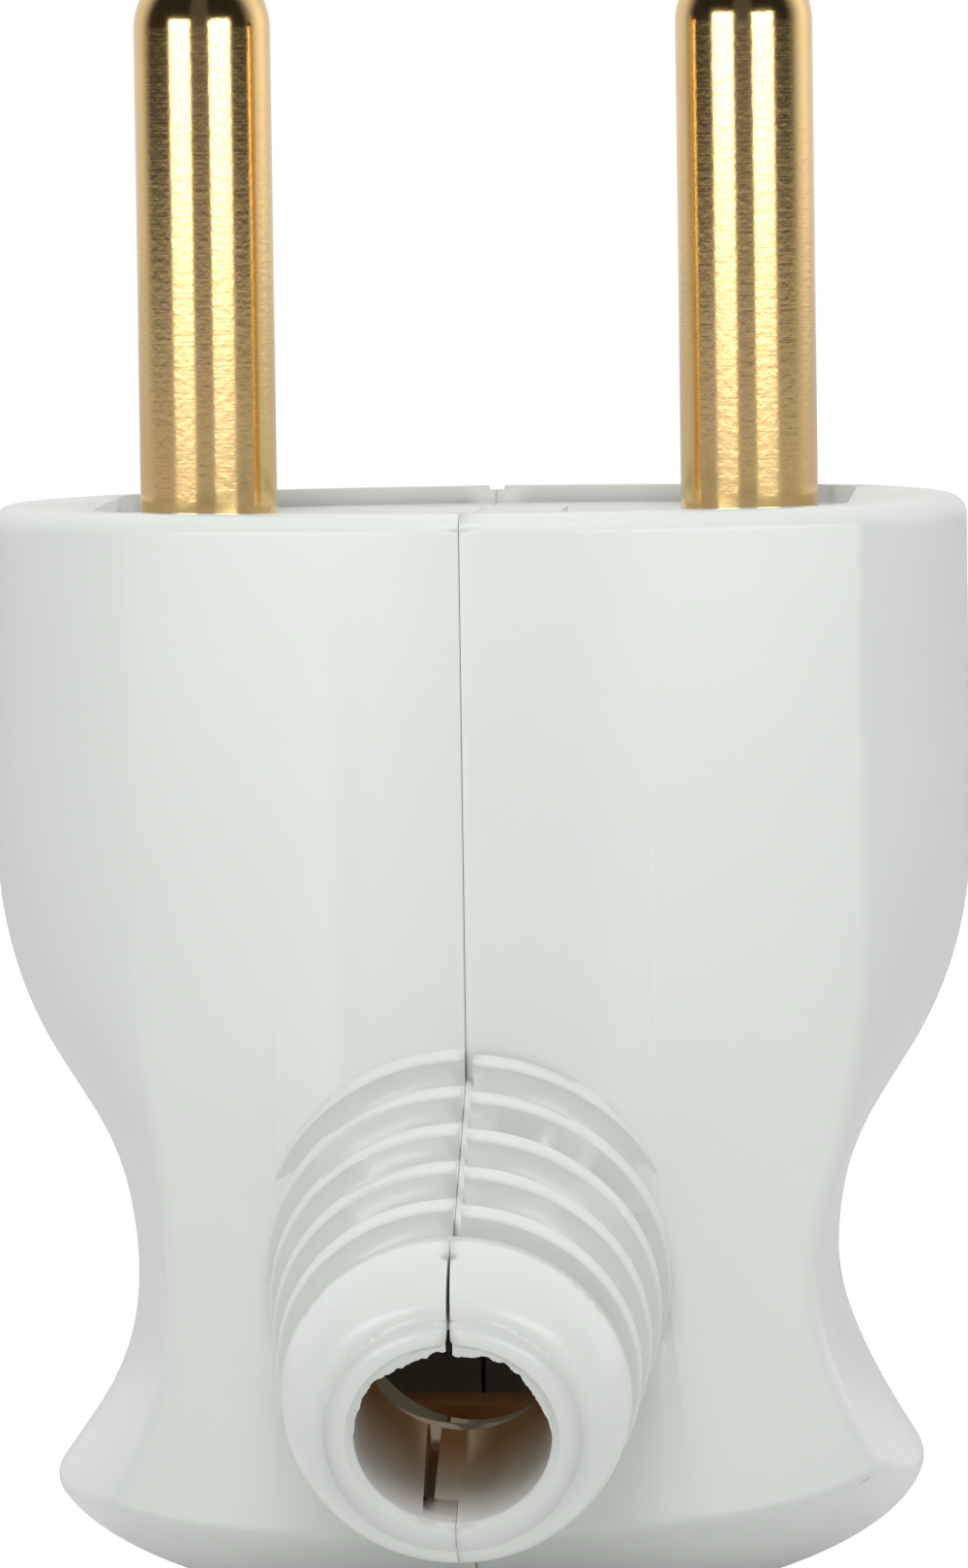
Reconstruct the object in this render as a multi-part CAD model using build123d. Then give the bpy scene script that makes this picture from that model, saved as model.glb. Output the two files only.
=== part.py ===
from build123d import *
import math
import os

# Side-entry mains plug with two round pins.
# Millimetres, +Z along the pins, origin midway between them in the plane of the face.
# The cord neck droops forward, towards -Y. X runs from the left pin to the right pin.

# Pins
pin_spacing = 19.0
pin_diameter = 4.8
pin_length = 19.0
pin_fit = 0.02
pin_neck_diameter = 4.4
collar_diameter = 7.0
collar_height = 2.0
collar_depth = 2.6
head_diameter = 7.2
head_top_depth = 6.4
head_height = 8.6
head_chamfer = 0.3
boss_gap = 0.4
boss_clearance_diameter = 11.0
core_hole_diameter = 3.2
core_hole_lift = 4.3

# Body outline
face_half_width = 17.1
straight_depth = 6.0
shoulder_half_width = 16.1
shoulder_depth = 17.1
slope_half_width = 14.7
slope_depth = 19.8
waist_half_width = 12.3
waist_depth = 27.0
flare_half_width = 15.2
flare_depth = 33.7
flare_lag = 1.3
tip_drop = 2.4
tip_growth = 0.6
half_depth = 12.5
front_radius = 28.0
panel_shift = 1.0
crease_face = 12.65
crease_shoulder = 12.55
crease_slope = 12.2
crease_waist = 11.5
crease_flare = 13.4
flank_rise = 0.35
flank_overrun = 0.9
slice_step = 3.0
slice_top = 2.0
corner_round = 1.0
inner_corner_round = 0.4
base_half_width = 15.3
base_start_depth = 33.4
base_drop = 5.7
base_radius = 21.0
base_round = 0.5
rim_round = 0.7
wall = 2.0

# Face
recess_depth = 0.6
recess_half_width = 13.1
recess_rim = 1.5
recess_corner = 3.0
face_wall = 2.6
face_pad_width = 5.9
face_pad_length = 7.0
face_pad_height = 0.2
seam_notch_width = 0.6
seam_notch_depth = 0.15

# Cord neck, measured along its own axis from the mouth inwards
neck_droop = 22.0
mouth_forward = 23.2
mouth_depth = 30.3
bore_diameter = 6.7
bore_length = 6.7
bore_lead = 0.25
lip_diameter = 8.55
lip_length = 0.4
nose_length = 3.3
nose_diameter = 11.8
rib_count = 5
rib_pitch = 2.24
rib_width = 0.8
rib_growth = 0.26
groove_depth = 0.95
rib_round = 0.12
rib_mismatch = 0.4
chamber_diameter = 8.8
chamber_growth = 1.2
throat_start = 9.4
throat_drop = 1.2
mouth_gap_width = 0.16
mouth_gap_length = 4.4
mouth_flare = 0.5
rib_relief = 0.3

# Lapped seam
lap_width = 0.8
lap_fit = 0.12
lap_start = 1.9
seam_fit = 0.01
seam_groove_width = 0.04
seam_groove_depth = 0.06

# Screws and nut
screw_diameter = 3.0
screw_fit = 0.03
hole_fit = 0.15
slot_width = 0.8
slot_depth = 0.8
assembly_screw_length = 20.0
assembly_head_diameter = 5.6
assembly_head_height = 2.2
assembly_y = 4.5
assembly_depth = 25.0
assembly_head_inset = 9.4
nut_across_flats = 5.5
nut_height = 2.4
nut_seat = 8.4
pocket_fit = 0.1
boss_diameter = 9.6
terminal_screw_length = 4.2
terminal_head_diameter = 4.6
terminal_head_height = 1.5
terminal_gap = 2.0

# Cord clamp
clamp_y = -7.0
clamp_width = 3.6
clamp_half_length = 7.4
clamp_screw_x = 5.4
bar_depth = 30.9
bar_thickness = 2.0
bridge_depth = 18.8
bridge_thickness = 1.6
bridge_half_length = 9.0
clamp_screw_length = 15.6
clamp_head_diameter = 4.8
clamp_head_height = 1.5
seat_gap = 0.3
seat_wall = 1.2
seat_fit = 0.1

# Size of the solids that cut or bound the body
reach = 60.0


def side_profile(face, shoulder, slope, waist, flare):
    """Points down one side of the body, each a half width and a height."""
    upper = Spline(
        (face, -straight_depth),
        (shoulder, -shoulder_depth),
        (slope, -slope_depth),
        (waist, -waist_depth),
        tangents=[(0, -1), (0, -1)],
    )
    lower = Spline(
        (waist, -waist_depth),
        ((flare + waist) / 2, -(flare_depth + waist_depth) / 2 - flare_lag),
        (flare, -flare_depth),
        (flare + (flare - waist) / 2, -flare_depth - tip_drop),
        tangents=[(0, -1), (1.0, -1.3)],
    )
    points = [(face, reach)]
    for curve in (upper, lower):
        for step in range(101):
            place = curve @ (step / 100)
            points.append((place.X, place.Y))
    points.append((points[-1][0] + tip_growth, -reach))
    return points


def width_at(points, z):
    """Half width at a height, between the two nearest points of a profile."""
    for above, under in zip(points, points[1:]):
        if under[1] <= z < above[1]:
            share = (above[1] - z) / (above[1] - under[1])
            return above[0] + (under[0] - above[0]) * share


def flank_arc(sign, half_width, crease, inset):
    """Middle and end of the arc that bounds a level slice on one side."""
    edge = min(crease + sign * panel_shift, half_width - flank_rise)
    panel_x = edge - sign * panel_shift
    y = math.sqrt(front_radius ** 2 - panel_x ** 2) - (front_radius - half_depth)
    rise = half_width - edge
    radius = (y ** 2 + rise ** 2) / (2 * rise)
    centre = half_width - radius
    shrunk = radius - inset
    far = min(y + flank_overrun, 0.93 * shrunk)
    return (sign * (half_width - inset), 0), (sign * (centre + math.sqrt(shrunk ** 2 - far ** 2)), far)


def flank_slice(z, half_width, crease, inset):
    """Level slice between the flanks, carried straight on past their creases."""
    right, right_end = flank_arc(1, half_width, crease, inset)
    left, left_end = flank_arc(-1, half_width, crease, inset)
    far = 2 * half_depth
    outline = Curve() + [
        ThreePointArc((right_end[0], -right_end[1]), right, right_end),
        Polyline(right_end, (right_end[0], far), (left_end[0], far), left_end),
        ThreePointArc(left_end, left, (left_end[0], -left_end[1])),
        Polyline((left_end[0], -left_end[1]), (left_end[0], -far), (right_end[0], -far),
                 (right_end[0], -right_end[1])),
    ]
    return Pos(0, 0, z) * make_face(outline)


def between_flanks(inset):
    """Everything between the two convex flanks of the body."""
    widest = side_profile(
        face_half_width, shoulder_half_width, slope_half_width, waist_half_width, flare_half_width)
    crease = side_profile(crease_face, crease_shoulder, crease_slope, crease_waist, crease_flare)
    slices = []
    z = slice_top
    while z > -flare_depth - base_drop - 2 * slice_step:
        slices.append(flank_slice(z, width_at(widest, z), width_at(crease, z), inset))
        z -= slice_step
    return loft(slices)


def base_limit(inset):
    """Everything above the domed base."""
    axis_z = base_radius - base_start_depth - base_drop
    half = base_half_width - inset
    drop = base_drop - inset
    edge = (half, -base_start_depth)
    top = (face_half_width + 1, axis_z)
    outline = Curve() + [
        Line((-top[0], axis_z), (-edge[0], edge[1])),
        EllipticalCenterArc((0, edge[1]), half, drop, start_angle=180, arc_size=180),
        Line(edge, top),
        Line(top, (-top[0], axis_z)),
    ]
    barrel = revolve(Plane.XZ * make_face(outline), Axis((0, 0, axis_z), (1, 0, 0)))
    above = Pos(0, 0, axis_z + reach / 2) * Box(reach, reach, reach)
    return barrel + above


def body_form(inset):
    """The closed outer form of the body without its neck, shrunk by inset."""
    form = between_flanks(inset)
    centre = front_radius - half_depth
    for sign in (1, -1):
        form = (Pos(panel_shift, sign * centre, -reach / 2) * Cylinder(front_radius - inset, reach)) & form
    corners = [edge for edge in form.edges() if edge.bounding_box().size.Z > 5]
    form = fillet(corners, max(corner_round - inset, inner_corner_round))
    return form & base_limit(inset)


def below(depth):
    """Half space under a level plane."""
    return Pos(0, 0, -depth - reach) * Box(2 * reach, 2 * reach, 2 * reach)


def beside(sign, x):
    """Half space beyond an upright plane across X."""
    return Pos(sign * (x + reach), 0, 0) * Box(2 * reach, 2 * reach, 2 * reach)


def in_neck(shape):
    """Place a shape made along +Z on the cord's axis, with the mouth at z = 0."""
    droop = math.radians(neck_droop)
    inwards = (0, math.cos(droop), math.sin(droop))
    return Plane(origin=(0, -mouth_forward, -mouth_depth), x_dir=(1, 0, 0), z_dir=inwards) * shape


def disc(diameter, start, length):
    return Pos(0, 0, start + length / 2) * Cylinder(diameter / 2, length)


neck_length = nose_length + rib_count * rib_pitch


def neck_core():
    """Rounded nose with its raised lip, and the plain cone behind it."""
    lip = lip_diameter / 2
    nose = nose_diameter / 2
    outline = Curve() + [
        Line((0, 0), (lip, 0)),
        Line((lip, 0), (lip, lip_length)),
        EllipticalCenterArc((lip, nose_length), nose - lip, nose_length - lip_length,
                            start_angle=270, arc_size=90),
        Line((nose, nose_length), (0, nose_length)),
        Line((0, nose_length), (0, 0)),
    ]
    front = revolve(Plane.XZ * make_face(outline), Axis.Z)
    root = nose - groove_depth
    grown = root + rib_count * rib_growth
    cone_length = rib_count * rib_pitch
    cone = Pos(0, 0, nose_length + cone_length / 2) * Cone(root, grown, cone_length)
    return in_neck(front + cone)


def neck_ribs(shift):
    """Stepped ribs round the neck, each a little wider than the one before it."""
    ribs = Part()
    for index in range(rib_count):
        start = nose_length + (index + 1) * rib_pitch - rib_width - shift
        rib = disc(nose_diameter + 2 * rib_growth * (index + 1), start, rib_width)
        ribs = ribs + in_neck(fillet(rib.edges(), rib_round))
    return ribs


def cord_way():
    """The bore for the cord, the wider chamber behind it and the throat into the body."""
    bore = disc(bore_diameter, -1, bore_length + 1.2)
    lead = Pos(0, 0, bore_lead / 2) * Cone(bore_diameter / 2 + bore_lead, bore_diameter / 2, bore_lead)
    chamber_length = neck_length - bore_length
    chamber = Pos(0, 0, bore_length + chamber_length / 2) * Cone(
        chamber_diameter / 2, (chamber_diameter + chamber_growth) / 2, chamber_length)
    throat = Pos(0, throat_drop, 0) * disc(chamber_diameter, throat_start, neck_length - throat_start)
    return in_neck(bore + lead + chamber + throat)


def mouth_gap():
    """The wedge where the halves spring apart over the mouth, flared at the bore."""
    outline = Polyline(
        (-mouth_gap_width / 2, -0.5),
        (mouth_gap_width / 2, -0.5),
        (seam_fit, mouth_gap_length),
        (-seam_fit, mouth_gap_length),
        close=True,
    )
    upright = Plane(origin=(0, 0, 0), x_dir=(1, 0, 0), z_dir=(0, -1, 0))
    wedge = extrude(upright * make_face(outline), nose_diameter)
    bore = bore_diameter / 2
    flare = Polyline(
        (-mouth_flare, -bore + 0.3),
        (mouth_flare, -bore + 0.3),
        (0, -bore - mouth_flare),
        close=True,
    )
    return in_neck(wedge + Pos(0, 0, -0.5) * extrude(make_face(flare), 2.0))


def along_x(sign, x, y, depth):
    """Frame whose +Z points along X, outwards on the side given by sign."""
    return Plane(origin=(x, y, -depth), x_dir=(0, 1, 0), z_dir=(sign, 0, 0))


def interior():
    """The room inside the body, under the face."""
    return body_form(wall) & below(recess_depth + face_wall)


def lap_ring(room, fit):
    """Inner half of the wall all round the seam, where one half laps into the other."""
    ring = body_form(wall / 2 - fit) & below(recess_depth + face_wall / 2 - fit)
    lip = bore_diameter / 2 + (nose_diameter - bore_diameter) / 2 - groove_depth
    sleeve_diameter = bore_diameter / 2 + lip + 2 * fit
    sleeve = in_neck(disc(sleeve_diameter, lap_start - fit, bore_length - lap_start + 2 * fit))
    return ring - room + sleeve


def slab(low, high):
    """Everything between two upright planes across X."""
    return Pos((low + high) / 2, 0, 0) * Box(high - low, 2 * reach, 2 * reach)


def outer_body():
    """The body's outer form with the rim of its face and the crease over its base rounded."""
    form = body_form(0)
    rim = [edge for edge in form.edges() if edge.bounding_box().min.Z > -0.01]
    form = fillet(rim, rim_round)
    crease = [edge for edge in form.edges() if edge.bounding_box().max.Z < -waist_depth - 2]
    return fillet(crease, base_round)


def face_recess():
    """Shallow recess of the face, with the pad between the pins left standing."""
    radius = front_radius - recess_rim
    centre = front_radius - half_depth
    room = Pos(0, 0, 1 - recess_depth) * Box(2 * recess_half_width, 2 * half_depth, 2)
    for sign in (1, -1):
        room = room & (Pos(panel_shift, sign * centre, 0) * Cylinder(radius, 4))
    room = fillet(room.edges().filter_by(Axis.Z), recess_corner)
    pad = Pos(0, 0, face_pad_height / 2 - recess_depth) * Box(face_pad_width, face_pad_length, face_pad_height)
    notch = Pos(0, half_depth - recess_rim / 2, 0) * Box(
        seam_notch_width, 2 * recess_rim, 2 * seam_notch_depth)
    return room - pad + notch


def pin_boss(sign):
    """Thick part of the face in which a pin is moulded."""
    top = -recess_depth - face_wall / 2
    bottom = -(head_top_depth - boss_gap)
    return Pos(sign * pin_spacing / 2, 0, 0) * disc(boss_clearance_diameter, bottom, top - bottom)


def screw_boss(sign):
    """Solid post for the assembly screw, from the flank to the seam."""
    return along_x(sign, 0, assembly_y, assembly_depth) * disc(boss_diameter, 0, face_half_width)


def bridge_seat(sign):
    """Block on the flank that holds one end of the clamp's bridge."""
    seat_inner_x = clamp_screw_x + clamp_head_diameter / 2 + seat_gap
    length = face_half_width - seat_inner_x
    height = bridge_thickness + 2 * seat_wall
    middle = bridge_depth + bridge_thickness / 2
    width = clamp_width + 2 * seat_wall
    x = sign * (seat_inner_x + length / 2)
    return Pos(x, clamp_y, -middle) * Box(length, width, height)


def bridge_slot():
    middle = bridge_depth + bridge_thickness / 2
    return Pos(0, clamp_y, -middle) * Box(
        2 * (bridge_half_length + seat_fit), clamp_width + 2 * seat_fit, bridge_thickness + 2 * seat_fit)


def pin_room(sign):
    """The space that the pin fills in the face, with its fit."""
    hole = disc(pin_neck_diameter + 2 * pin_fit, -head_top_depth, pin_length)
    collar = disc(collar_diameter + 2 * pin_fit, -collar_depth - collar_height - pin_fit,
                  collar_height + 2 * pin_fit)
    return Pos(sign * pin_spacing / 2, 0, 0) * (hole + collar)


def screw_way(sign):
    """Screw hole, with a counterbore on the left flank and a nut pocket on the right."""
    frame = along_x(sign, 0, assembly_y, assembly_depth)
    way = disc(screw_diameter + 2 * hole_fit, -1, face_half_width)
    if sign < 0:
        bore = disc(assembly_head_diameter + 4 * hole_fit, assembly_head_inset, face_half_width)
        return frame * (way + bore)
    hexagon = RegularPolygon(nut_across_flats / 2 + pocket_fit, 6, major_radius=False)
    return frame * (way + Pos(0, 0, nut_seat) * extrude(hexagon, face_half_width))


def seam_groove(form):
    """The fine groove that the moulded edges leave along the seam."""
    skin = form - body_form(seam_groove_depth)
    return skin & slab(-seam_groove_width, seam_groove_width)


def housing(sign, form, room):
    """One half shell: a left half with the rebate, or a right half with the lip."""
    shift = rib_mismatch if sign > 0 else 0
    relief = rib_relief if sign > 0 else seam_fit
    half = beside(sign, seam_fit)
    ribs = neck_ribs(shift) & beside(sign, relief)
    shell = ((form + neck_core()) & half) + ribs
    shell = shell - room
    fittings = (pin_boss(sign) + screw_boss(sign) + bridge_seat(sign)) & form & half
    shell = shell + fittings
    if sign > 0:
        shell = shell + (lap_ring(room, 0) & slab(-lap_width, lap_width))
    else:
        shell = shell - (lap_ring(room, lap_fit) & slab(-lap_width - lap_fit, 0))
    cuts = [cord_way(), mouth_gap(), face_recess(), pin_room(sign), screw_way(sign), bridge_slot()]
    for cut in cuts:
        shell = shell - cut
    return shell - seam_groove(form)


def pin(sign):
    """Turned brass pin: a domed tip, a narrower neck with a collar in the face, a terminal head."""
    radius = pin_diameter / 2
    neck = pin_neck_diameter / 2
    collar = collar_diameter / 2
    foot = -recess_depth + pin_fit
    head = head_diameter / 2
    collar_foot = -collar_depth - collar_height
    head_foot = -head_top_depth - head_height
    outline = Curve() + [
        CenterArc((0, pin_length - radius), radius, 0, 90),
        Polyline(
            (radius, pin_length - radius),
            (radius, foot),
            (neck, foot),
            (neck, -collar_depth),
            (collar, -collar_depth),
            (collar, collar_foot),
            (neck, collar_foot),
            (neck, -head_top_depth),
            (head, -head_top_depth),
            (head, head_foot),
            (0, head_foot),
            (0, pin_length),
        ),
    ]
    turned = revolve(Plane.XZ * make_face(outline), Axis.Z)
    end = turned.edges().filter_by(GeomType.CIRCLE).sort_by(Axis.Z)[0]
    turned = chamfer(end, head_chamfer)
    hole_z = head_foot + core_hole_lift
    core_hole = Pos(0, 0, hole_z) * Rot(90, 0, 0) * Cylinder(core_hole_diameter / 2, 2 * head_diameter)
    tapped = along_x(-sign, 0, 0, -hole_z) * disc(screw_diameter + 2 * screw_fit, 0, head_diameter)
    return Pos(sign * pin_spacing / 2, 0, 0) * (turned - core_hole - tapped)


def slotted_screw(length, head_across, head_height):
    """Cheese-head screw along Z, the underside of its head at z = 0."""
    cap = disc(head_across, 0, head_height)
    cap = fillet(cap.edges().sort_by(Axis.Z)[-1], head_height / 4)
    cap = cap - Pos(0, 0, head_height) * Box(2 * head_across, slot_width, 2 * slot_depth)
    shank = disc(screw_diameter, -length, length)
    shank = chamfer(shank.edges().sort_by(Axis.Z)[0], screw_diameter / 8)
    return cap + shank


def terminal_screw(sign):
    seat = pin_spacing / 2 - head_diameter / 2 - terminal_gap
    depth = head_top_depth + head_height - core_hole_lift
    screw = slotted_screw(terminal_screw_length, terminal_head_diameter, terminal_head_height)
    return along_x(-sign, sign * seat, 0, depth) * screw


def assembly_screw():
    screw = slotted_screw(assembly_screw_length, assembly_head_diameter, assembly_head_height)
    return along_x(-1, -assembly_head_inset, assembly_y, assembly_depth) * screw


def assembly_nut():
    hexagon = RegularPolygon(nut_across_flats / 2, 6, major_radius=False)
    blank = extrude(hexagon, nut_height)
    turned = Pos(0, 0, nut_height / 2) * Cylinder(nut_across_flats * 0.56, nut_height)
    turned = chamfer(turned.edges().filter_by(GeomType.CIRCLE), nut_across_flats * 0.06)
    hole = disc(screw_diameter + 2 * screw_fit, -1, nut_height + 2)
    return along_x(1, nut_seat, assembly_y, assembly_depth) * ((blank & turned) - hole)


def clamp_screw(sign):
    screw = slotted_screw(clamp_screw_length, clamp_head_diameter, clamp_head_height)
    return Pos(sign * clamp_screw_x, clamp_y, -bridge_depth) * screw


def clamp_bridge():
    """Upper bar of the cord clamp, hollowed where the cord lies under it."""
    middle = bridge_depth + bridge_thickness / 2
    bar = Box(2 * bridge_half_length, clamp_width, bridge_thickness)
    bar = chamfer(bar.edges().filter_by(Axis.Z), 0.4)
    saddle = Pos(0, 0, -bridge_thickness / 2 - bore_diameter + 0.5) * Rot(90, 0, 0) * Cylinder(
        bore_diameter, 2 * clamp_width)
    bar = bar - saddle
    for sign in (1, -1):
        bar = bar - Pos(sign * clamp_screw_x, 0, 0) * Cylinder(screw_diameter / 2 + hole_fit, 4)
    return Pos(0, clamp_y, -middle) * bar


def clamp_bar():
    """Lower bar of the cord clamp, tapped for the two clamp screws."""
    middle = bar_depth + bar_thickness / 2
    bar = Box(2 * clamp_half_length, clamp_width, bar_thickness)
    bar = fillet(bar.edges().filter_by(Axis.Z), 0.8)
    for sign in (1, -1):
        bar = bar - Pos(sign * clamp_screw_x, 0, 0) * Cylinder(screw_diameter / 2 + screw_fit, 6)
    return Pos(0, clamp_y, -middle) * bar


def main():
    form = outer_body()
    room = interior()
    parts = {
        "left_housing": housing(-1, form, room),
        "right_housing": housing(1, form, room),
        "left_pin": pin(-1),
        "right_pin": pin(1),
        "left_terminal_screw": terminal_screw(-1),
        "right_terminal_screw": terminal_screw(1),
        "clamp_bridge": clamp_bridge(),
        "clamp_bar": clamp_bar(),
        "left_clamp_screw": clamp_screw(-1),
        "right_clamp_screw": clamp_screw(1),
        "assembly_screw": assembly_screw(),
        "assembly_nut": assembly_nut(),
    }
    os.makedirs("parts", exist_ok=True)
    for name, shape in parts.items():
        export_step(shape, f"parts/{name}.step")


main()
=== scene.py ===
import math
import random

import bmesh
import bpy
from mathutils import Matrix, Vector


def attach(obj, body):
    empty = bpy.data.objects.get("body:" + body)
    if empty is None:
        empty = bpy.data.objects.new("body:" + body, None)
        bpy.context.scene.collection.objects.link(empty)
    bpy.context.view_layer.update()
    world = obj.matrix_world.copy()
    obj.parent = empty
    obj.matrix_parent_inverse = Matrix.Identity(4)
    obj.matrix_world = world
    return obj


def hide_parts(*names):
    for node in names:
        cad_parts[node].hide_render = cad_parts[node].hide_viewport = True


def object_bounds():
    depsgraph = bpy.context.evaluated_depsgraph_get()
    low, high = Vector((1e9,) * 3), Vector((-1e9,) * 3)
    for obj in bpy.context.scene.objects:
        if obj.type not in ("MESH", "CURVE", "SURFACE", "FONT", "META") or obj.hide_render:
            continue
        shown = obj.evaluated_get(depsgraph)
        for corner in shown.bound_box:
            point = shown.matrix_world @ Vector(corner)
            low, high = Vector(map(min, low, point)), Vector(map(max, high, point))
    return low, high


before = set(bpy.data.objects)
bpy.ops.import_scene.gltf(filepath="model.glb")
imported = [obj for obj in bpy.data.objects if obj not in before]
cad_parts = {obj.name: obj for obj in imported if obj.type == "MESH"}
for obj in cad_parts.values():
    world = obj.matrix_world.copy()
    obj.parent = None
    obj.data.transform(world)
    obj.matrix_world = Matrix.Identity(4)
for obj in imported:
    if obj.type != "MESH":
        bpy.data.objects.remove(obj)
cad_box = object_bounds()


# Housing halves
# Two shells of hard white plastic, moulded round the pins and lapped along an upright seam.
# They carry the face, the waisted grip and the ribbed neck, and a screw through both holds them shut.
merge_distance = 2e-6
shortest_edge = 1e-7
crease_angle = math.radians(28)


def dressed_copy(name, node, material):
    """A merged, smooth-shaded copy of a solid in its finish, which stands for it."""
    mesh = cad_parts[node].data.copy()
    work = bmesh.new()
    work.from_mesh(mesh)
    bmesh.ops.remove_doubles(work, verts=work.verts, dist=merge_distance)
    bmesh.ops.dissolve_degenerate(work, edges=work.edges, dist=shortest_edge)
    work.to_mesh(mesh)
    work.free()
    mesh.shade_smooth()
    mesh.set_sharp_from_angle(angle=crease_angle)
    draft = bpy.data.objects.new(name + "_draft", mesh)
    bpy.context.scene.collection.objects.link(draft)
    weights = draft.modifiers.new("even_shading", "WEIGHTED_NORMAL")
    weights.mode = "FACE_AREA_WITH_ANGLE"
    weights.keep_sharp = True
    shaded = bpy.data.meshes.new_from_object(draft.evaluated_get(bpy.context.evaluated_depsgraph_get()))
    shaded.name = name
    bpy.data.objects.remove(draft)
    piece = bpy.data.objects.new(name, shaded)
    bpy.context.scene.collection.objects.link(piece)
    shaded.materials.clear()
    shaded.materials.append(material)
    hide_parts(node)
    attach(piece, "root")
    return piece


# The bore of the neck runs inwards from the middle of its mouth, and the neck droops by this angle.
mouth = Vector((0, -0.0232, -0.0303))
droop = math.radians(22)
across = Vector((1, 0, 0))
inwards = Vector((0, math.cos(droop), math.sin(droop)))
upwards = across.cross(inwards)

lap_edge = -0.00092
lap_set_back = 0.00026
lap_start, lap_end = 0.0016, 0.0074
lap_reach = 0.0045
lap_tolerance = 5e-6


def widen_lap(mesh):
    """Set back the left half's rebate inside the bore, where the halves of the used plug stand apart."""
    for vertex in mesh.vertices:
        from_mouth = vertex.co - mouth
        deep = from_mouth.dot(inwards)
        high = from_mouth.dot(upwards)
        radius = math.hypot(vertex.co.x, high)
        on_edge = abs(vertex.co.x - lap_edge) < lap_tolerance
        if on_edge and lap_start < deep < lap_end and radius < lap_reach and high < 0:
            moved = math.sqrt(radius ** 2 - (lap_edge - lap_set_back) ** 2)
            vertex.co += Vector((-lap_set_back, 0, 0)) + upwards * (-moved - high)


def noise(tree, place, scale, detail):
    """Height of a noise pattern."""
    node = tree.nodes.new("ShaderNodeTexNoise")
    node.inputs["Scale"].default_value = scale
    node.inputs["Detail"].default_value = detail
    tree.links.new(place, node.inputs["Vector"])
    return node.outputs["Fac"]


def bump(tree, height, strength, distance, under=None):
    """Normals of a surface raised by a height, over the normals of another bump where one is given."""
    node = tree.nodes.new("ShaderNodeBump")
    node.inputs["Strength"].default_value = strength
    node.inputs["Distance"].default_value = distance
    tree.links.new(height, node.inputs["Height"])
    if under is not None:
        tree.links.new(under, node.inputs["Normal"])
    return node.outputs["Normal"]


def colour_mix(tree, share, first, second):
    """Mix of a colour, which is a socket or red, green and blue, with red, green and blue."""
    node = tree.nodes.new("ShaderNodeMix")
    node.data_type = "RGBA"
    tree.links.new(share, node.inputs["Factor"])
    if isinstance(first, tuple):
        node.inputs["A"].default_value = (*first, 1)
    else:
        tree.links.new(first, node.inputs["A"])
    node.inputs["B"].default_value = (*second, 1)
    return node.outputs["Result"]


def vector_node(tree, operation, first, second=(0, 0, 0)):
    """Result of a Vector Math node on a socket and plain coordinates."""
    node = tree.nodes.new("ShaderNodeVectorMath")
    node.operation = operation
    node.inputs[1].default_value = second
    tree.links.new(first, node.inputs[0])
    return node.outputs["Value" if operation in ("DOT_PRODUCT", "LENGTH") else "Vector"]


def math_node(tree, operation, *sources):
    """Result of a Math node on sockets or plain numbers."""
    node = tree.nodes.new("ShaderNodeMath")
    node.operation = operation
    for socket, source in zip(node.inputs, sources):
        if isinstance(source, (int, float)):
            socket.default_value = source
        else:
            tree.links.new(source, socket)
    return node.outputs["Value"]


def ramp(tree, source, low, high, first=0, last=1, curve="SMOOTHSTEP"):
    """Value that is first up to low, last from high on, and turns from one into the other between."""
    node = tree.nodes.new("ShaderNodeMapRange")
    node.interpolation_type = curve
    node.inputs["From Min"].default_value = low
    node.inputs["From Max"].default_value = high
    node.inputs["To Min"].default_value = first
    node.inputs["To Max"].default_value = last
    tree.links.new(source, node.inputs["Value"])
    return node.outputs["Result"]


# The painted warm shade is a brown that stands for the dim, warm-lit shadow inside the bore. It lies on
# the wall of the bore and in the lap that shows there, and ends just behind the bore.
# It deepens from start to full along the bore, and reaches a little further out as it goes in.
painted_shade_brown = (0.52, 0.3, 0.13)
painted_shade_start, painted_shade_full = 0.0005, 0.0058
painted_shade_end = 0.0075
painted_shade_radius = 0.0035
painted_shade_widening = 0.26
painted_shade_widest = 0.0046


def bore_painted_shade(tree, place):
    """How much painted warm shade the plastic gets at a place: more and more inwards along the bore, and
    nothing elsewhere.
    """
    from_mouth = vector_node(tree, "SUBTRACT", place, mouth)
    deep = vector_node(tree, "DOT_PRODUCT", from_mouth, inwards)
    off_axis = vector_node(tree, "LENGTH", vector_node(tree, "CROSS_PRODUCT", from_mouth, inwards))
    edge = math_node(tree, "MULTIPLY_ADD", deep, painted_shade_widening, painted_shade_radius)
    edge = math_node(tree, "MINIMUM", edge, painted_shade_widest)
    in_bore = math_node(tree, "LESS_THAN", off_axis, edge)
    before_room = math_node(tree, "LESS_THAN", deep, painted_shade_end)
    on_wall = math_node(tree, "MULTIPLY", in_bore, before_room)
    depth_share = ramp(tree, deep, painted_shade_start, painted_shade_full, curve="LINEAR")
    return math_node(tree, "MULTIPLY", depth_share, on_wall)


def plastic(name, base, shade, roughness, ior):
    """Satin plastic with a faint mottle, a slightly uneven skin and painted warm shade inside the bore."""
    material = bpy.data.materials.new(name)
    material.use_nodes = True
    tree = material.node_tree
    shader = tree.nodes["Principled BSDF"]
    shader.inputs["Roughness"].default_value = roughness
    shader.inputs["IOR"].default_value = ior
    place = tree.nodes.new("ShaderNodeTexCoord").outputs["Object"]
    mottle = noise(tree, place, scale=160, detail=3)
    tint = colour_mix(tree, mottle, base, shade)
    # Painted warm shade: brown mixed into the plastic's tint along the bore.
    painted_shade_tint = colour_mix(tree, bore_painted_shade(tree, place), tint, painted_shade_brown)
    tree.links.new(painted_shade_tint, shader.inputs["Base Color"])
    skin = noise(tree, place, scale=700, detail=2)
    normals = bump(tree, skin, strength=0.12, distance=0.00004)
    tree.links.new(normals, shader.inputs["Normal"])
    return material


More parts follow.
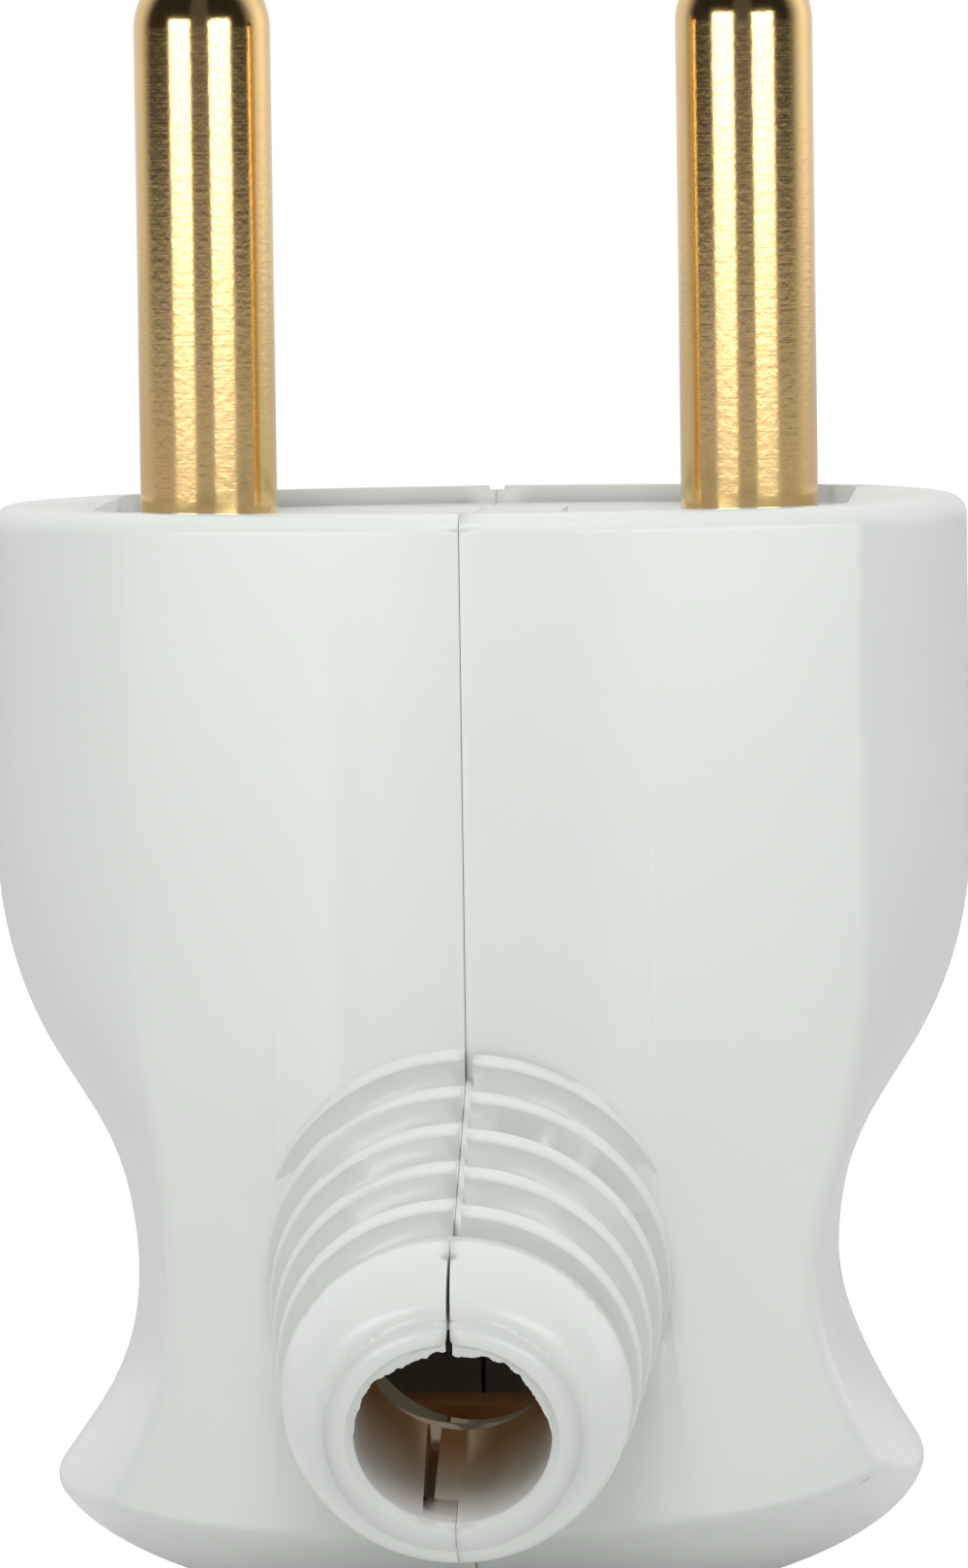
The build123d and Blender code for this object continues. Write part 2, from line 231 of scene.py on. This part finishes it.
housing_white = plastic("housing_white", base=(0.795, 0.822, 0.785), shade=(0.765, 0.792, 0.76),
                        roughness=0.24, ior=1.5)
left_shell = dressed_copy("left_shell", "left_housing", housing_white)
widen_lap(left_shell.data)
dressed_copy("right_shell", "right_housing", housing_white)


# Flash at the mouth of the neck
# Thin ragged skin of the same plastic that the mould left round the bore, one strip on each half.
# It is part of each moulding, thickest over the top of the hole and worn away underneath.
bore_radius = 0.00335
flash_root = 0.0003
flash_depth = 0.00032
flash_thickness = 0.00012
flash_base = 0.00003
flash_swell = 0.00022
flash_tears = 0.00016
flash_least = 0.00002
flash_rounding = 0.7
flash_span = 176
flash_steps = 150
wave_count, wave_height = 5, 0.5
jag_kept, jag_added = 0.7, 0.3
tear_chance, tear_jump = 0.03, 0.25
ragged = random.Random(7)
for side, start_turn in (("left", 92), ("right", -88)):
    work = bmesh.new()
    rings = []
    jag = 0
    for step in range(flash_steps + 1):
        turn = math.radians(start_turn + flash_span * step / flash_steps)
        over = max(0, math.sin(turn)) ** flash_rounding
        jag = jag_kept * jag + jag_added * ragged.uniform(-1, 1)
        jag += tear_jump if ragged.random() < tear_chance else 0
        wave = 1 + wave_height * math.sin(wave_count * turn + start_turn)
        reach = flash_base + flash_swell * over * wave + flash_tears * over * jag
        inner = bore_radius - max(reach, flash_least)
        outer = bore_radius + flash_root
        front = flash_depth
        back = flash_depth + flash_thickness
        ring = []
        for radius, deep in ((inner, front), (outer, front), (outer, back), (inner, back)):
            place = mouth + inwards * deep
            place = place + across * radius * math.cos(turn) + upwards * radius * math.sin(turn)
            ring.append(work.verts.new(place))
        rings.append(ring)
    for near, far in zip(rings, rings[1:]):
        for corner in range(4):
            following = (corner + 1) % 4
            work.faces.new((near[corner], near[following], far[following], far[corner]))
    work.faces.new(rings[0][::-1])
    work.faces.new(rings[-1])
    bmesh.ops.recalc_face_normals(work, faces=work.faces)
    flash_mesh = bpy.data.meshes.new(f"{side}_mouth_flash")
    work.to_mesh(flash_mesh)
    work.free()
    flash = bpy.data.objects.new(f"{side}_mouth_flash", flash_mesh)
    bpy.context.scene.collection.objects.link(flash)
    flash_mesh.materials.append(housing_white)
    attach(flash, "root")


# Pins
# Solid brass, turned on a lathe, with a domed tip and fine rings left by the tool.
# Their collars sit in the face, and their heads take the conductors inside.
def metal(name, base, dark, roughness, ring_scale):
    """Bare metal whose tone varies in small patches, with rings round Z and fine pitting."""
    material = bpy.data.materials.new(name)
    material.use_nodes = True
    tree = material.node_tree
    shader = tree.nodes["Principled BSDF"]
    shader.inputs["Metallic"].default_value = 1
    shader.inputs["Roughness"].default_value = roughness
    place = tree.nodes.new("ShaderNodeTexCoord").outputs["Object"]
    patches = noise(tree, place, scale=500, detail=4)
    tree.links.new(colour_mix(tree, patches, base, dark), shader.inputs["Base Color"])
    stretch = tree.nodes.new("ShaderNodeMapping")
    stretch.inputs["Scale"].default_value = (0.02, 0.02, 1)
    tree.links.new(place, stretch.inputs["Vector"])
    rings = noise(tree, stretch.outputs["Vector"], scale=ring_scale, detail=2)
    turned = bump(tree, rings, strength=0.12, distance=0.00001)
    grain = noise(tree, place, scale=3500, detail=3)
    pitted = bump(tree, grain, strength=0.2, distance=0.00002, under=turned)
    tree.links.new(pitted, shader.inputs["Normal"])
    return material


pin_brass = metal("pin_brass", base=(0.86, 0.61, 0.28), dark=(0.79, 0.54, 0.24), roughness=0.14,
                  ring_scale=9000)
for side in ("left", "right"):
    dressed_copy(f"{side}_turned_pin", f"{side}_pin", pin_brass)


# Cord clamp
# Two stamped brass bars, one on ledges inside the halves and one drawn up under the cord.
# Two screws pull the bars together, and the end of the lower one shows in the bore.
clamp_brass = metal("clamp_brass", base=(0.66, 0.36, 0.16), dark=(0.5, 0.25, 0.11), roughness=0.4,
                    ring_scale=900)
for node in ("clamp_bar", "clamp_bridge"):
    dressed_copy(f"{node}_strip", node, clamp_brass)


# Screws and nut
# Zinc-plated steel, slotted. Two hold the conductors and two draw up the clamp.
# One goes across the waist into the nut and shuts the halves.
plated_steel = metal("plated_steel", base=(0.66, 0.66, 0.63), dark=(0.55, 0.55, 0.52), roughness=0.3,
                     ring_scale=900)
for node in ("left_clamp_screw", "right_clamp_screw", "left_terminal_screw", "right_terminal_screw",
             "assembly_screw", "assembly_nut"):
    dressed_copy(f"{node}_steel", node, plated_steel)


# Table
# A wide matt white board, just under the plug.
# It glows to the camera alone, so that it looks white there and keeps a trace of the plug's shadow.
half_floor = 1.5
floor_gap = 0.0002
floor_white = (0.9, 0.9, 0.9, 1)
floor_roughness = 0.9
floor_glow = 1.05
floor_glow_share = 0.92

floor_z = cad_box[0].z - floor_gap
floor_mesh = bpy.data.meshes.new("floor")
floor_mesh.from_pydata(
    [(-half_floor, -half_floor, floor_z), (half_floor, -half_floor, floor_z),
     (half_floor, half_floor, floor_z), (-half_floor, half_floor, floor_z)], [], [(0, 1, 2, 3)])
floor = bpy.data.objects.new("floor", floor_mesh)
bpy.context.scene.collection.objects.link(floor)
white_table = bpy.data.materials.new("white_table")
white_table.use_nodes = True
table_tree = white_table.node_tree
board = table_tree.nodes["Principled BSDF"]
board.inputs["Base Color"].default_value = floor_white
board.inputs["Roughness"].default_value = floor_roughness
glow = table_tree.nodes.new("ShaderNodeEmission")
glow.inputs["Strength"].default_value = floor_glow
camera_ray = table_tree.nodes.new("ShaderNodeLightPath").outputs["Is Camera Ray"]
glow_share = math_node(table_tree, "MULTIPLY", camera_ray, floor_glow_share)
table_mix = table_tree.nodes.new("ShaderNodeMixShader")
table_tree.links.new(glow_share, table_mix.inputs["Fac"])
table_tree.links.new(board.outputs["BSDF"], table_mix.inputs[1])
table_tree.links.new(glow.outputs["Emission"], table_mix.inputs[2])
table_tree.links.new(table_mix.outputs["Shader"], table_tree.nodes["Material Output"].inputs["Surface"])
floor_mesh.materials.append(white_table)


# Room
# A dim room whose walls are pale behind the plug and at its sides, and which the camera sees as white.
# Reflections show it darker, with an upright soft box on each side of the camera, so that the pins
# get two bright strips.
# Each pair of edges says where a surface begins and where it is full, as shares of the way to it.
room_level = 0.43
back_wall_level, back_wall = 0.4, (0.3, 0.8)
side_wall_level, side_wall, side_wall_ends = 0.85, (0.5, 0.9), (-0.3, 0.1)
ceiling_level, ceiling_edge = 0.1, (0.3, 0.9)
mirrored_room_level = 0.02
mirrored_back_level, mirrored_back = 0.8, (0.0, 0.6)
mirrored_right_level, mirrored_right, mirrored_right_ends = 0.45, (0.5, 0.9), (-0.2, 0.3)
mirrored_camera_level = 0.07
soft_box_level = 4.3
box_near, box_far = (math.radians(14), math.radians(19)), (math.radians(48), math.radians(56))
box_bottom = (math.sin(math.radians(-4)), math.sin(math.radians(-2.5)))
box_top = (math.sin(math.radians(12)), math.sin(math.radians(16)))

world = bpy.data.worlds.new("studio")
bpy.context.scene.world = world
world.use_nodes = True
room_tree = world.node_tree
room_tree.nodes.remove(room_tree.nodes["Background"])
way = room_tree.nodes.new("ShaderNodeTexCoord")
split = room_tree.nodes.new("ShaderNodeSeparateXYZ")
room_tree.links.new(way.outputs["Generated"], split.inputs["Vector"])
to_right, to_back, to_top = split.outputs

sideways = math_node(room_tree, "ABSOLUTE", to_right)
sides = math_node(room_tree, "MULTIPLY", ramp(room_tree, sideways, *side_wall),
                  ramp(room_tree, to_back, *side_wall_ends))
light = room_level
for surface, level in ((ramp(room_tree, to_back, *back_wall), back_wall_level),
                       (ramp(room_tree, to_top, *ceiling_edge), ceiling_level),
                       (sides, side_wall_level)):
    light = math_node(room_tree, "MULTIPLY_ADD", surface, level, light)

to_front = math_node(room_tree, "MULTIPLY", to_back, -1)
turn = math_node(room_tree, "ABSOLUTE", math_node(room_tree, "ARCTAN2", to_right, to_front))
soft_box = ramp(room_tree, turn, *box_near)
for edge in (ramp(room_tree, turn, *box_far, first=1, last=0),
             ramp(room_tree, to_top, *box_bottom),
             ramp(room_tree, to_top, *box_top, first=1, last=0)):
    soft_box = math_node(room_tree, "MULTIPLY", soft_box, edge)
right_wall = math_node(room_tree, "MULTIPLY", ramp(room_tree, to_right, *mirrored_right),
                       ramp(room_tree, to_back, *mirrored_right_ends))
mirrored = mirrored_room_level
for surface, level in ((soft_box, soft_box_level),
                       (ramp(room_tree, turn, *box_near, first=1, last=0), mirrored_camera_level),
                       (ramp(room_tree, to_back, *mirrored_back), mirrored_back_level),
                       (right_wall, mirrored_right_level)):
    mirrored = math_node(room_tree, "MULTIPLY_ADD", surface, level, mirrored)


def background(level=None):
    """White background of the room, at a level given by a socket, or else at 1."""
    node = room_tree.nodes.new("ShaderNodeBackground")
    node.inputs["Color"].default_value = (1, 1, 1, 1)
    if level is not None:
        room_tree.links.new(level, node.inputs["Strength"])
    return node.outputs["Background"]


ray = room_tree.nodes.new("ShaderNodeLightPath")
seen = background(light)
for kind, other in (("Is Glossy Ray", background(mirrored)), ("Is Camera Ray", background())):
    choice = room_tree.nodes.new("ShaderNodeMixShader")
    room_tree.links.new(ray.outputs[kind], choice.inputs["Fac"])
    room_tree.links.new(seen, choice.inputs[1])
    room_tree.links.new(other, choice.inputs[2])
    seen = choice.outputs["Shader"]
room_tree.links.new(seen, room_tree.nodes["World Output"].inputs["Surface"])


# Lamps
# A small square panel in front of the plug and above it gives the front its soft shading.
# A weak warm bulb in the hollow body stands in for light that comes through the thin white plastic.
near_lamp_data = bpy.data.lights.new("near_lamp", "AREA")
near_lamp_data.shape = "SQUARE"
near_lamp_data.size = 0.05
near_lamp_data.energy = 0.062
near_lamp = bpy.data.objects.new("near_lamp", near_lamp_data)
bpy.context.scene.collection.objects.link(near_lamp)
near_lamp.location = (0.0, -0.085, 0.072)
near_lamp_target = Vector((0, 0, -0.01))
near_lamp.rotation_euler = (near_lamp_target - near_lamp.location).to_track_quat("-Z", "Y").to_euler()
near_lamp.visible_camera = False
near_lamp.visible_glossy = False

inner_lamp_data = bpy.data.lights.new("inner_lamp", "POINT")
inner_lamp_data.energy = 0.000125
inner_lamp_data.color = (1, 0.78, 0.55)
inner_lamp_data.shadow_soft_size = 0.0015
inner_lamp = bpy.data.objects.new("inner_lamp", inner_lamp_data)
bpy.context.scene.collection.objects.link(inner_lamp)
inner_lamp.location = (0, -0.0065, -0.0245)
inner_lamp.visible_camera = False


# Camera
# It stands 0.4 m in front of the plug, a little to the right and above, with a long lens.
# The plug fills the width of the frame, and the tips of the pins lie past its upper edge.
camera_place = Vector((0.023, -0.4, 0.0167))
camera_target = Vector((0.00004, 0, -0.01002))
camera_lean = math.radians(-0.8)
camera_data = bpy.data.cameras.new("camera")
camera_data.sensor_fit = "HORIZONTAL"
camera_data.sensor_width = 36
camera_data.lens = 424.8
camera_data.clip_start = 0.01
camera_data.clip_end = 20
camera = bpy.data.objects.new("camera", camera_data)
bpy.context.scene.collection.objects.link(camera)
look = (camera_target - camera_place).to_track_quat("-Z", "Y").to_matrix().to_4x4()
camera.matrix_world = Matrix.Translation(camera_place) @ look @ Matrix.Rotation(camera_lean, 4, "Z")
bpy.context.scene.camera = camera
bpy.context.scene.view_settings.view_transform = "Standard"
